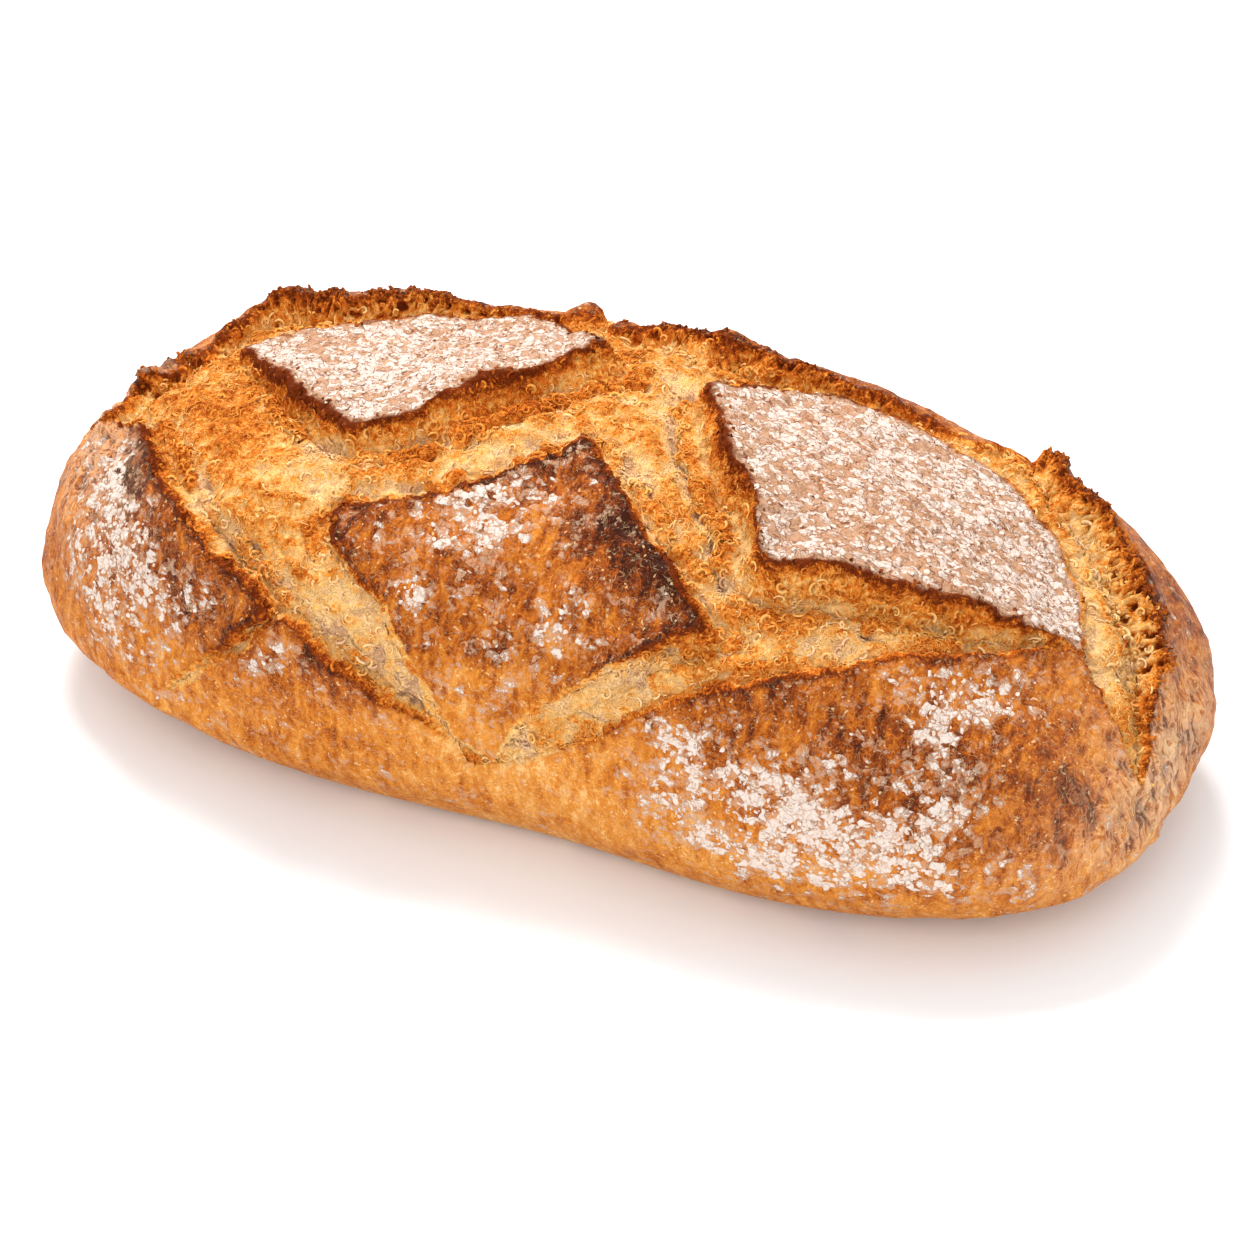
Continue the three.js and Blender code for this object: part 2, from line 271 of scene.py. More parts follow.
# %% Borders of the crust
OPENING = [
    (-168, -20, 1), (-140, -31, 3), (-114, -37, 4), (-100, -53, 5), (-80, -73, 6),
    (-70, -80, 6), (-69, -84, 6), (-77, -89, 4), (-89, -95, 2), (-105, -102, 1),
    (-144, -115, 0), (-118, -112, 0), (-82, -98, 1), (-62, -88, 3), (-52, -98, 4),
    (-39, -108, 4), (-24, -116, 2), (-14, -125, 0), (-9, -134, 0), (3, -130, 0),
    (15, -124, 0), (26, -117, 0), (38, -107, 1), (48, -91, 2), (60, -78, 3),
    (75, -64, 3), (84, -56, 3), (90, -48, 3), (110, -32, 3), (129, -14, 3),
    (143, -20, 2), (161, -27, 1), (187, -33, 0), (176, -19, 2), (163, -6, 4),
    (159, 6, 5), (145, 18, 6), (124, 31, 7), (106, 41, 7), (96, 47, 6), (90, 52, 4),
    (94, 68, 2), (100, 88, 0), (84, 68, 1), (72, 44, 1), (56, 42, 3), (42, 41, 4),
    (22, 37, 6), (10, 40, 6), (-2, 43, 5), (-18, 41, 2), (-21, 60, 1), (-26, 84, 0),
    (-31, 60, 1), (-27, 43, 2), (-36, 40, 3), (-64, 38, 4), (-84, 29, 5),
    (-103, 30, 5), (-116, 25, 5), (-118, 11, 4), (-123, 2, 3), (-138, 12, 2),
    (-158, 26, 0), (-141, 4, 3), (-127, -6, 3), (-137, -10, 4), (-145, -26, 3),
]
BACK_PLATE = [
    (-103, 2, 3), (-84, 15, 2), (-60, 29, 2), (-37, 32, 3), (-12, 15, 7),
    (-31, -10, 7), (-43, -27, 7), (-53, -29, 6), (-75, -17, 5),
]
MIDDLE_PLATE = [
    (-47, -57, 4), (-28, -52, 3), (-16, -45, 4), (-4, -36, 5), (3, -29, 7),
    (14, -39, 6), (27, -50, 5), (47, -64, 5), (38, -74, 3), (20, -94, 1),
    (9, -109, 0), (-1, -128, 0), (-13, -120, 0), (-20, -104, 1), (-28, -89, 1),
    (-32, -78, 2), (-42, -68, 3),
]
RIGHT_PLATE = [
    (22, 8, 6), (34, 23, 3), (51, 32, 2), (67, 35, 1), (84, 32, 1), (104, 21, 1),
    (120, 7, 1), (129, -10, 2), (110, -18, 5), (93, -23, 7), (80, -29, 8),
    (65, -35, 9), (55, -41, 9), (51, -33, 9), (43, -23, 8), (31, -6, 7),
]
SIDE, BACK, MIDDLE, RIGHT = range(4)
BORDER_WANDER = [(11, 1.3, 6), (4.5, 0.55, 7), (1.9, 0.3, 8)]


def border(x, y, outline):
    """Distance in from an outline, the lift of the rim there and the way inwards."""
    nearest = np.full(x.shape, np.inf)
    inside = np.zeros(x.shape, bool)
    weights, lifts = np.zeros(x.shape), np.zeros(x.shape)
    way_x, way_y = np.zeros(x.shape), np.zeros(x.shape)
    for (x0, y0, lift0), (x1, y1, lift1) in zip(outline, outline[1:] + outline[:1]):
        dx, dy = x1 - x0, y1 - y0
        t = np.clip(((x - x0) * dx + (y - y0) * dy) / (dx * dx + dy * dy), 0, 1)
        off_x, off_y = x - x0 - t * dx, y - y0 - t * dy
        distance = np.hypot(off_x, off_y)
        weight = math.hypot(dx, dy) / (distance**2 + 0.5) ** 1.5
        weights += weight
        lifts += weight * mix(lift0, lift1, t)
        nearer = distance < nearest
        nearest = np.where(nearer, distance, nearest)
        way_x, way_y = np.where(nearer, off_x, way_x), np.where(nearer, off_y, way_y)
        if y0 != y1:
            inside ^= ((y0 > y) != (y1 > y)) & (x < x0 + dx * (y - y0) / dy)
    sign = np.where(inside, 1, -1)
    length = sign * np.maximum(nearest, 1e-6)
    return sign * nearest, lifts / weights, way_x / length, way_y / length


def crust_at(x, y):
    """Distance in from the crust's border, lift, plate and the way inwards, at each place."""
    wx = x + waves((x, y), BORDER_WANDER)
    wy = y + waves((y, x), BORDER_WANDER)
    distance, lift, way_x, way_y = border(wx, wy, OPENING)
    distance, way_x, way_y = -distance, -way_x, -way_y
    plate = np.full(x.shape, SIDE)
    for number, outline in ((BACK, BACK_PLATE), (MIDDLE, MIDDLE_PLATE), (RIGHT, RIGHT_PLATE)):
        found = border(wx, wy, outline)
        on = found[0] > distance
        distance, lift, way_x, way_y = (
            np.where(on, new, old) for new, old in zip(found, (distance, lift, way_x, way_y)))
        plate = np.where(on, number, plate)
    return distance, lift, plate, way_x, way_y


# %% [markdown]
# The relief has a part for the crust and one for the crumb, in millimetres over the smooth body.
# Crust rises to its rims and is broken into crags there. Crumb drops from the rim as a torn wall,
# breaks off once more at a ledge if the wall is high, and swells towards the middle of its
# channel. Knobs and deep hollows lie where the photo shows them.

# %% Heights over the smooth body
SIDE_CRUST_REACH = 16
PLATE_DISH, PLATE_DISH_WIDTH = 0.25, 12
FLOOR_DEPTH, FLOOR_DEPTH_PER_LIFT = 1.2, 0.35
CRUMB_SWELL, CRUMB_SWELL_REACH = 1.2, 9
RIM_CRAG_REACH = 5
HIGH_WALL, LEDGE_DROP_PER_LIFT = 2.5, 0.6
HOLLOW_DEPTH = 1.3
HOLLOW_EDGES = [(5, 0.25, 35), (2.4, 0.15, 36)]
KNOBS = [
    (-29, 47, 4, 4, 4), (92, 51, 5, 5, 3), (-139, -6, 5, 5, 3), (-152, -121, 3, 3, 2),
    (12, 42, 5, 5, 2), (-106, 31, 6, 6, 2), (89, -92, 2.5, 2.5, 1.2),
]
HOLLOWS = [
    (-27, -107, 5, 9, 2.0), (-36, -98, 4, 6, 1.4), (42, -72, 7, 3, 1.6), (46, -51, 4, 5, 2.2),
    (40, -42, 3, 5, 1.5), (-87, -54, 5, 8, 1.8), (-78, -66, 4, 8, 1.2), (-60, -32, 8, 3, 1.5),
    (-32, -29, 9, 2.5, 2.2), (127, -8, 5, 2, 1.5), (33, -100, 7, 3, 1.4), (13, -118, 6, 3, 1.2),
    (78, -43, 9, 2, 1.5), (98, -31, 10, 2, 1.5), (-48, -89, 8, 3, 1.2), (24, -44, 4, 6, 1.0),
    (-118, -111, 5, 3, 1.2), (-100, 17, 6, 4, 1.5), (109, 31, 5, 4, 1.5), (150, 6, 4, 8, 1.5),
]


def wall_width(lift):
    return 1.5 + 0.9 * lift


def ledge_at(x, y, lift):
    """How far out from the rim a high wall breaks off for the second time."""
    return wall_width(lift) + 2.5 + waves((x, y), [(13, 2.2, 60), (3.5, 1.0, 61)])


def crust_relief(x, y, distance, lift, plate):
    dish = 1 - PLATE_DISH * smoothstep(distance, 0, PLATE_DISH_WIDTH)
    height = lift * np.where(plate > 0, dish, np.exp(-distance / SIDE_CRUST_REACH))
    return height + smoothstep(distance, 0, 6) * waves((x, y), [(23, 0.9, 1), (9, 0.45, 2)])


def crumb_relief(x, y, distance, lift):
    out = np.maximum(0, -distance)
    wall = wall_width(lift)
    floor = -(FLOOR_DEPTH + FLOOR_DEPTH_PER_LIFT * lift)
    swell = 1 - np.exp(-np.maximum(0, out - wall) / CRUMB_SWELL_REACH)
    height = mix(lift, floor, smoothstep(out, 0, wall)) + (CRUMB_SWELL - floor) * swell

    # below a high wall: up to the ledge, down its face, and slowly up again
    ledge = ledge_at(x, y, lift)
    drop = LEDGE_DROP_PER_LIFT * np.clip(lift - HIGH_WALL, 0, 5)
    height += drop * smoothstep(out, wall * 0.7, ledge - 1)
    height -= drop * 1.7 * smoothstep(out, ledge - 0.4, ledge + 0.4)
    height += drop * 0.7 * smoothstep(out, ledge + 0.5, ledge + 6)
    return height + smoothstep(out, 0, wall) * waves((x, y), [(15, 1.0, 3), (8, 0.8, 4)])


def relief(x, y):
    distance, lift, plate, way_x, way_y = crust_at(x, y)
    height = np.where(
        distance > 0, crust_relief(x, y, distance, lift, plate), crumb_relief(x, y, distance, lift))
    hollow = patches(x, y, HOLLOWS) * smoothstep(-distance, 0, 2)
    hollow *= 0.3 + 0.7 * smoothstep(hollow + waves((x, y), HOLLOW_EDGES), 0.5, 0.9)
    height += patches(x, y, KNOBS) - HOLLOW_DEPTH * hollow
    rim = np.exp(-np.abs(distance) / RIM_CRAG_REACH) * np.clip(lift / 4, 0, 1)
    height += rim * waves((x, y), [(7, 1.2, 5), (2.8, 0.5, 33)])
    height *= 1 - smoothstep(skin_angle(x, y), 1.9, 2.2)
    return height, distance, lift, plate, way_x, way_y, hollow


# %% [markdown]
# A sheet of triangles covers the map. It starts as an even square of cells, bent into the round
# map, and every pass splits the edges that are longer than wanted at their place. So the torn
# crumb, the rims and the wrinkled ends get fine triangles, while the plain sides keep coarse
# ones. Marking edges, and not triangles, means that neighbours always split alike and no crack
# opens between them.

# %% A sheet that is finest where the crust is torn
SHEET_COLUMNS, SHEET_ROWS = 58, 32
CRUMB_EDGE = 0.7
FLOURY_PLATE_EDGE = 1.25
MIDDLE_PLATE_EDGE = 1.35
SIDE_EDGE = 2.4
WRINKLE_EDGE = 1.05
WRINKLED = [(195, -15, 38, 46, 1), (-132, -30, 22, 30, 0.7), (-5, -105, 22, 22, 0.5)]
EDGE_GROWTH = 0.12
UNDERSIDE_FACTOR = 2.5
REFINEMENTS = 5
SPLIT_ABOVE = 1.4


def square_sheet():
    """Places on the map, which of them lie on the ground, and the triangles between them."""
    columns, rows = np.linspace(-1, 1, SHEET_COLUMNS + 1), np.linspace(-1, 1, SHEET_ROWS + 1)
    gx, gy = (grid.ravel() for grid in np.meshgrid(columns, rows))
    a = gx * (0.8 + 0.2 * gx**2) * np.sqrt(1 - gy**2 / 2)
    b = gy * np.sqrt(1 - gx**2 / 2)
    on_ground = np.maximum(np.abs(gx), np.abs(gy)) > 1 - 1e-6
    stretch = rim_angle(a, b) / (np.pi / 2) / np.where(on_ground, np.hypot(a, b), 1)
    i, j = np.meshgrid(np.arange(SHEET_COLUMNS), np.arange(SHEET_ROWS))
    corner = (j * (SHEET_COLUMNS + 1) + i).ravel()
    up = SHEET_COLUMNS + 1
    lower = np.stack([corner, corner + 1, corner + up + 1], 1)
    upper = np.stack([corner, corner + up + 1, corner + up], 1)
    places = np.stack([a * stretch * SKIN_LENGTH, b * stretch * SKIN_WIDTH], 1)
    return places, on_ground, np.concatenate([lower, upper])


def sides(triangles):
    """The three sides of each triangle, as pairs of corners."""
    return triangles[:, [[0, 1], [1, 2], [2, 0]]].reshape(-1, 2)


def wanted_edge(x, y):
    distance, _, plate, _, _ = crust_at(x, y)
    most = np.choose(plate, [SIDE_EDGE, FLOURY_PLATE_EDGE, MIDDLE_PLATE_EDGE, FLOURY_PLATE_EDGE])
    most = mix(most, WRINKLE_EDGE, np.clip(patches(x, y, WRINKLED), 0, 1) * (plate == SIDE))
    wanted = np.clip(CRUMB_EDGE + EDGE_GROWTH * (distance - 2), CRUMB_EDGE, most)
    return wanted * mix(1, UNDERSIDE_FACTOR, smoothstep(skin_angle(x, y), 1.7, 2.1))


def refine(places, on_ground, triangles):
    """Splits edges that are too long, and their triangles into two, three or four."""
    edges, which = np.unique(np.sort(sides(triangles), 1), axis=0, return_inverse=True)
    start, end = places[edges[:, 0]], places[edges[:, 1]]
    middle = (start + end) / 2
    length = np.linalg.norm(body_points(*start.T) - body_points(*end.T), axis=1)
    split = (length > SPLIT_ABOVE * wanted_edge(*middle.T)) & ~on_ground[edges].all(1)
    number = np.where(split, len(places) + np.cumsum(split) - 1, -1)
    cut = number[which.reshape(-1, 3)]
    finer = [triangles[(cut < 0).all(1)]]
    for turn in range(3):
        p, q, r = np.roll(triangles, -turn, 1).T
        a, b, c = np.roll(cut, -turn, 1).T
        one = (a >= 0) & (b < 0) & (c < 0)
        two = (a >= 0) & (b >= 0) & (c < 0)
        finer += [np.stack([p, a, r], 1)[one], np.stack([a, q, r], 1)[one]]
        finer += [np.stack([a, q, b], 1)[two], np.stack([p, a, b], 1)[two],
                  np.stack([p, b, r], 1)[two]]
    (p, q, r), (a, b, c) = triangles.T, cut.T
    all_three = (cut >= 0).all(1)
    for corners in ((p, a, c), (a, q, b), (c, b, r), (a, b, c)):
        finer.append(np.stack(corners, 1)[all_three])
    places = np.concatenate([places, middle[split]])
    on_ground = np.concatenate([on_ground, np.zeros(split.sum(), bool)])
    return places, on_ground, np.concatenate(finer)


sheet = square_sheet()
for _ in range(REFINEMENTS):
    sheet = refine(*sheet)
places, on_ground, triangles = sheet
print("sheet:", len(places), "places,", len(triangles), "triangles")

# %% [markdown]
# Now every place gets its height along the body's normal. Rims lean out over the crumb, and so
# does the lip of a ledge, by moving places outwards on the map before they are raised. The sole's
# outline has no relief, so comparing it with the solid's shows how far the loaf must be shifted
# to lie like the solid.

# %% Shape the skin
OVERHANG_PER_LIFT, OVERHANG_REACH = 0.28, 1.8
LEDGE_LIP, LEDGE_LIP_REACH = 2.0, 0.8

x, y = places.T
height, distance, lift, plate, way_x, way_y, hollow = relief(x, y)
lean = OVERHANG_PER_LIFT * lift * np.exp(-((distance / OVERHANG_REACH) ** 2))
ledge = ledge_at(x, y, lift)
lip = np.exp(-(((-distance - ledge + 0.5) / LEDGE_LIP_REACH) ** 2))
lean += LEDGE_LIP * np.clip((lift - 3) / 4, 0, 1) * lip
lean *= 1 + 0.5 * noise((x, y), 3, 82)
points = body_points(x - lean * way_x, y - lean * way_y)
points += body_normals(x, y) * height[:, None]
points[:, 2] = np.maximum(points[:, 2], 0)
points[on_ground, 2] = 0

solid = np.array([v.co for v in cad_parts["loaf"].data.vertices]) / MM
sole, own_sole = solid[solid[:, 2] < 0.01], points[on_ground]
shift = (sole.max(0) + sole.min(0) - own_sole.max(0) - own_sole.min(0)) / 2
points += shift
print("shift, mm:", shift.round(2))

# %% [markdown]
# Fine relief stands on the surface as it is now, walls and overhangs included, so it is measured
# in space and goes along the true normals. Torn crumb has ridges and strands, pulled towards the
# rims, and thin membranes round open bubbles. On walls it splits into level layers, and where the
# loaf burst behind and at its right end it is a crumbly honeycomb. Crust has wrinkles, blisters
# and pits, is craggy on its rims and furrowed like bark at the ends, and the dry flour on two
# plates breaks into scales.

# %% Fine relief along the true normals
CRUMBLY = [
    (140, 10, 32, 34, 1), (-85, 36, 50, 12, 1), (50, 46, 60, 10, 0.8), (-140, 0, 20, 16, 0.8),
]
STRAND_PULL, STRAND_REACH = 0.75, 8

edges = np.unique(np.sort(sides(triangles), 1), axis=0)


def face_vectors(points):
    """A vector along each triangle's normal, as long as twice its area."""
    corner = points[triangles]
    return np.cross(corner[:, 1] - corner[:, 0], corner[:, 2] - corner[:, 0])


def true_normals(points):
    corners = triangles.ravel()
    return unit(np.stack([
        np.bincount(corners, part.repeat(3), len(points)) for part in face_vectors(points).T], 1))


def neighbour_mean(values):
    first, second = np.concatenate([edges, edges[:, ::-1]]).T
    count = np.bincount(first, minlength=len(values))
    means = [np.bincount(first, column[second], len(values)) / count for column in values.T]
    return np.stack(means, 1)


out = np.maximum(0, -distance)
wall = wall_width(lift)
space = points.T
warped = [
    space[axis] + waves(np.roll(space, axis, 0), [(5, 1.5, 60 + axis), (2.2, 0.6, 63 + axis)])
    for axis in range(3)]
layered = [warped[0], warped[1], 2.4 * space[2] + 0.8 * (warped[2] - space[2])]
on_wall = (1 - smoothstep(out, 0.8 * wall, wall + 3)) * np.clip(lift / 4, 0, 1)

# crumb: torn ridges, strands, layers on walls, and open bubbles
tatters = ridges(warped, [(9, 0.9, 66), (4.2, 0.7, 67), (2.1, 0.45, 68)])
pull = STRAND_PULL * np.exp(-out / STRAND_REACH) * distance
pulled = [x - pull * way_x, y - pull * way_y]
tatters += 1.2 * np.exp(-out / STRAND_REACH) * ridges(pulled, [(3, 0.5, 101), (1.6, 0.3, 102)])
layers = ridges(layered, [(7, 1.1, 74), (3.6, 0.6, 75)])
_, membrane, number = bubbles(warped, 3.3, 70)
openness = smoothstep(membrane, 0.12, 0.45) * (0.4 + number)
burst = np.clip(patches(x, y, CRUMBLY), 0, 1)
crumbly = burst * smoothstep(lift, 2, 4.5)
openness *= mix(0.25, 1.0, np.clip(0.8 * on_wall + crumbly, 0, 1)) * (1 + 0.7 * crumbly)
crumb_height = mix(tatters, 0.8 * layers, on_wall) * (1 - 0.4 * crumbly) + 0.4 - 1.5 * openness
near, _, number = bubbles(warped, 9, 86)
crumb_height -= 1.3 * (number > 0.66) * (1 - smoothstep(near, 0.18, 0.42)) * (1 - on_wall)

# crust: wrinkles, bark, blisters, pits, floury scales and crags on the rims
settled = smoothstep(distance, 0, 5)
wrinkles = ridges(warped, [(8, 0.32, 76), (3.6, 0.22, 77)]) + waves(space, [(2, 0.14, 78)])
upright = [warped[0], warped[1], 0.25 * warped[2]]
wrinkled = np.clip(patches(x, y, WRINKLED), 0, 1)
bark_height = ridges(upright, [(4, 1.8, 87), (2.2, 0.8, 88)])
wrinkles += wrinkled * bark_height
near, _, number = bubbles(space, 6, 40)
blisters = 0.6 * (number > 0.7) * np.maximum(0, 1 - (near / 0.4) ** 2)
near, _, number = bubbles(space, 4, 44)
pits = 0.45 * (number > 0.75) * np.maximum(0, 1 - (near / 0.35) ** 2)
_, crack, number = bubbles((warped[0], 1.5 * warped[1], warped[2]), 3, 50)
scales = 0.5 * (number - 0.5) - 0.4 * (1 - smoothstep(crack, 0, 0.25))
floury = ((plate == BACK) | (plate == RIGHT)) * smoothstep(distance, 0, 1.5)
crust_height = wrinkles + settled * (blisters - pits) + floury * scales
crags = np.exp(-(((distance - 0.3) / 2) ** 2)) * np.clip(lift / 3, 0, 1)
crags *= 1 + 1.5 * crumbly
broken = ridges(warped, [(3.4, 0.45, 83), (1.8, 0.25, 84)])
crust_height += crags * (broken + waves(space, [(4.5, 0.6, 85)]))

torn = smoothstep(-distance, -0.4, 1.2)
fine_height = mix(crust_height, crumb_height, torn)
fine_height *= 1 - smoothstep(skin_angle(x, y), 1.85, 2.15)
points += true_normals(points) * fine_height[:, None]
points[:, 2] = np.maximum(points[:, 2], 0)
points[on_ground, 2] = 0

# %% [markdown]
# How far a place stands out of its surroundings decides how it bakes: crests brown and burn, and
# hollows stay pale. It also drives painted light and shade: the deepest pits of the crumb reach a
# greyer beige that is painted shade, and on the furrowed ends grains that stand out are painted
# paler, as highlights. It is measured against copies of the skin that were smoothed by averaging
# each place with its neighbours, a few times for grains and many times for lumps.

# %% What stands out
def standing_out(rounds, most):
    smoothed = points
    for _ in range(rounds):
        smoothed = neighbour_mean(smoothed)
    height = np.sum((points - smoothed) * true_normals(smoothed), 1)
    return np.clip(neighbour_mean(height[:, None])[:, 0] / most, -1, 1)


grains, lumps = standing_out(8, 0.6), standing_out(60, 1.6)
print("skin box, mm:", (points.max(0) - points.min(0)).round(1),
      "grains and lumps:", grains.std().round(2), lumps.std().round(2))

# %% [markdown]
# Where crust is dark or pale and where flour fell follows the oven and the baker's hand, so it is
# painted by soft spots on the map. Darkness runs from 0, pale gold, to 1, burnt, and toast does the
# same for crumb. On the furrowed ends, high bark ridges and grains that stand out get less darkness
# and the furrows more: painted highlight and painted shade. In crumb, what stands out has browned,
# and so have walls near a rim, down to the edge of their ledge. The thin darker line along that
# edge is partly browned fringe and partly painted shade of the drop under the lip, and the extra
# toast in the pits of open bubbles is painted shade. The shade below a ledge stayed pale. Hollows
# stay pale too, but the deepest reach the greyer beige at the low end of the crumb ramp, which is
# painted shade. Away from the rims a soft cap keeps crumb from burning.

# %% Darkness, toast and flour
CRUST_DARKNESS = np.array([0.42, 0.62, 0.6, 0.62])
DARK_SPOTS = [
    (100, -70, 45, 26, 0.14), (150, -48, 24, 20, 0.12), (30, -54, 16, 12, 0.2),
    (0, -37, 24, 5, 0.1), (-24, -66, 13, 16, -0.12), (-85, -82, 18, 14, 0.22),
    (-118, -45, 22, 14, 0.16), (-70, -98, 20, 10, 0.1), (190, 0, 30, 30, 0.12),
    (140, 30, 22, 22, 0.18), (-100, 40, 40, 14, 0.25), (20, 50, 60, 14, 0.3),
    (-2, -112, 22, 20, -0.34), (-30, -135, 50, 18, -0.08), (40, -140, 45, 16, -0.14),
    (-140, 0, 16, 16, 0.25), (-122, -62, 16, 28, 0.14), (70, -100, 16, 12, 0.1),
    (-110, -52, 9, 9, 0.2), (-94, -70, 10, 8, 0.18),
]
PALE_CRUMB = [
    (-45, -88, 26, 14, 0.3), (-25, -108, 12, 12, 0.3), (35, -92, 26, 12, 0.35),
    (30, -25, 16, 22, 0.2), (-85, -60, 12, 18, 0.25), (70, -52, 24, 8, 0.15),
    (-108, -105, 22, 8, 0.2), (10, 5, 16, 18, 0.12), (12, -118, 14, 8, 0.25),
    (-15, -25, 26, 9, 0.15), (-88, -30, 24, 16, -0.45), (-110, -8, 20, 16, -0.25),
    (-50, -42, 24, 8, 0.12), (15, -15, 12, 22, 0.14), (35, -16, 7, 22, -0.3),
    (75, -46, 26, 8, 0.22), (-30, -26, 22, 7, 0.2), (-85, 34, 50, 9, -0.14),
    (-55, -42, 9, 5, 0.3), (2, 17, 8, 7, 0.3), (-80, -20, 22, 8, -0.24),
    (-26, -8, 9, 18, -0.24),
]
FLOUR_SPOTS = [
    (-112, -60, 13, 24, 0.5), (-106, -80, 12, 12, 0.3), (-120, -50, 8, 10, 0.25),
    (-128, -75, 14, 22, 0.24), (-142, -55, 14, 30, 0.26), (-90, -84, 9, 5, 0.35),
    (-137, -92, 18, 18, 0.34), (205, -20, 40, 60, 0.16), (-80, -101, 9, 4, 0.5),
    (-66, -97, 7, 5, 0.4), (-56, -108, 8, 5, 0.25), (-10, -47, 22, 8, 0.3),
    (22, -50, 14, 14, -0.22), (-8, -60, 6, 7, 0.22), (-25, -77, 5, 5, 0.5),
    (-19, -58, 9, 6, 0.3), (13, -80, 6, 6, 0.5), (20, -70, 10, 8, 0.15),
    (57, -95, 9, 8, 0.4), (98, -50, 14, 6, 0.45), (113, -42, 12, 7, 0.5),
    (108, -55, 8, 9, 0.35), (124, -32, 9, 6, 0.35), (90, -92, 16, 12, 0.45),
    (97, -76, 8, 8, 0.3), (104, -100, 12, 10, 0.4), (125, -92, 16, 16, 0.5),
    (132, -73, 10, 8, 0.4), (150, -98, 26, 12, 0.45), (170, -80, 20, 10, 0.2),
    (114, -121, 36, 14, 0.58), (68, -104, 20, 13, 0.36), (90, -125, 24, 8, 0.25),
    (115, -66, 10, 8, 0.3), (58, -120, 14, 8, 0.15), (-118, -126, 30, 12, 0.12),
    (150, -56, 20, 14, -0.25), (-107, -48, 8, 8, -0.3), (75, 14, 30, 12, 0.14),
    (112, -4, 18, 9, 0.12), (58, -22, 26, 10, -0.16), (-58, -6, 22, 12, 0.14),
    (-84, 10, 14, 8, -0.22), (-38, 24, 14, 8, -0.18),
]
FLOUR_ON_PLATE = np.array([0.03, 0.68, 0.14, 0.6])
TOAST_CAP = 0.6

dark = CRUST_DARKNESS[plate] + patches(x, y, DARK_SPOTS)
dark -= 0.15 * smoothstep(skin_angle(x, y), 1.35, 1.95)
high = np.clip(lift / 5, 0, 1)
dark += 0.1 * noise((x, y), 17, 90) + 0.08 * lumps
# On the furrowed ends, high bark ridges and standing grains get less darkness and low furrows more:
# painted highlight and painted shade. The fixed part is the bloom's own paleness.
dark -= wrinkled * (0.08 + 0.26 * (bark_height - 1.2) + 0.15 * grains)
dark += 0.13 * high * np.exp(-np.maximum(distance, 0) / 2.5)
below_ledge = smoothstep(out, ledge - 0.4, ledge + 0.4)
browned = 0.18 * grains + 0.2 * lumps * (1 - 0.7 * on_wall)
toast = 0.42 + browned * (1 - 0.9 * crumbly) + 0.12 * noise((x, y), 12, 91)
# The upper tier of a high wall gets more toast, and a thin darker line runs along the ledge's edge:
# partly browned fringe, partly painted shade of the drop under the lip.
toast += high * (0.13 * (1 - below_ledge) + 0.06 * np.exp(-(((out - ledge) / 0.7) ** 2)))
toast -= high * 0.18 * below_ledge * (1 - smoothstep(out, ledge + 2, ledge + 10))
# The pits of open bubbles on walls and in the crumbly honeycomb get more toast, which is painted
# shade in these recesses; crumbly membranes as a whole stay paler.
toast += openness * (0.2 * on_wall + 0.4 * crumbly) - 0.22 * crumbly
toast -= 0.2 * (burst - crumbly) * smoothstep(x, 90, 110)
toast += 0.3 * high * np.exp(-out / 1.5)
# Pale spots and hollows lower the toast; the deepest hollows reach the greyer low end of the crumb
# ramp, which is painted shade.
toast -= 0.65 * patches(x, y, PALE_CRUMB) + 0.2 * hollow
toast -= 0.6 * np.maximum(0, toast - TOAST_CAP) * smoothstep(out, 1.5, 5)
flour = FLOUR_ON_PLATE[plate] + patches(x, y, FLOUR_SPOTS)
flour *= smoothstep(distance, 0, np.where(plate > 0, 0.9, 2.2)) * (
    1 - 0.8 * smoothstep(skin_angle(x, y), 1.75, 2.0))
print("darkness, toast and flour:", *(values.mean().round(2) for values in (dark, toast, flour)))

# %% [markdown]
# The finished sheet becomes one closed mesh: its open edge is joined to a point in the middle of
# the sole, as on the solid. Smooth shading with fine triangles shows the relief without facets.
# What the finish and the pieces on the skin need to know is stored on the mesh as attributes,
# such as how brown each place is and how thickly curls grow there.

# %% The skin's mesh
def closed_sheet(points, triangles, on_ground):
    """Adds the flat sole under the sheet."""
    edges = sides(triangles)
    edges = edges[on_ground[edges].all(1)]
    there = {(p, q) for p, q in edges.tolist()}
    open_edges = [(p, q) for p, q in there if (q, p) not in there]
    centre = len(points)
    sole = np.array([(q, p, centre) for p, q in sorted(open_edges)])
    middle = points[on_ground].mean(0)
    return np.concatenate([points, middle[None]]), np.concatenate([triangles, sole])


def mesh_object(name, points, triangles, material):
    mesh = bpy.data.meshes.new(name)
    mesh.from_pydata((points * MM).tolist(), [], triangles.tolist())
    mesh.shade_smooth()
    mesh.materials.append(material)
    made = bpy.data.objects.new(name, mesh)
    bpy.context.scene.collection.objects.link(made)
    print(name + ":", len(mesh.polygons), "faces")
    return made


def keep_attribute(mesh, name, values):
    """Stores the values of the sheet, and the mean along the ground for the middle of the sole."""
    kind, field = ("FLOAT", "value") if values.ndim == 1 else ("FLOAT_VECTOR", "vector")
    values = np.concatenate([values, values[on_ground].mean(0, keepdims=True)])
    layer = mesh.attributes.new(name, kind, "POINT")
    layer.data.foreach_set(field, values.astype(np.float32).ravel())


